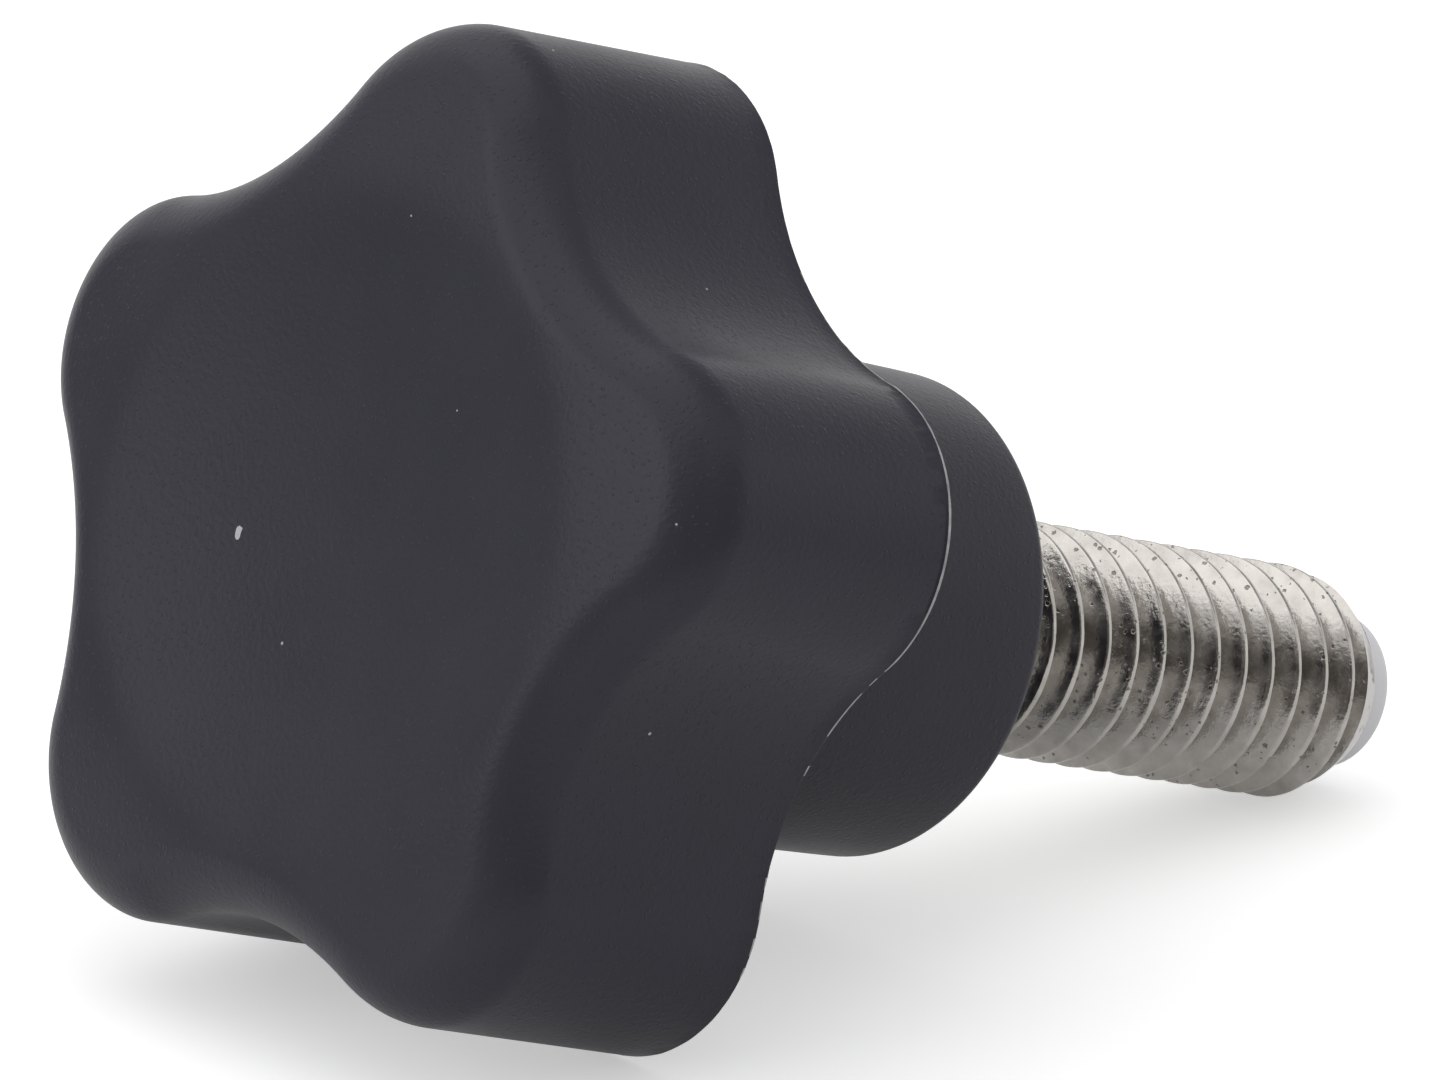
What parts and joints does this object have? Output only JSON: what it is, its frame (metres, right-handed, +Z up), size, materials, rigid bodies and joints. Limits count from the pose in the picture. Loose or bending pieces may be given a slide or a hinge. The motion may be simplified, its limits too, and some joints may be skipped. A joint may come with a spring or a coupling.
{
  "type": "star knob",
  "caption": "Star-shaped hand knob with a threaded steel stud and a plastic thrust tip, turned by hand to clamp, lock or adjust.",
  "frame": {"origin": "centre of the hub's seating face, on the thread's axis", "axes": "the knob lies as it rests, +Z up; the stud leaves the seat towards +X and down, and Y is across it"},
  "size_m": [0.0371, 0.0242, 0.0242],
  "materials": {
    "black_plastic": "fine matt grain",
    "stainless_steel": "rolled thread, satin",
    "white_plastic": "satin"
  },
  "bodies": {
    "root": {"knob_body": "black_plastic", "threaded_stud": "stainless_steel", "thrust_tip": "white_plastic"}
  },
  "joints": []
}
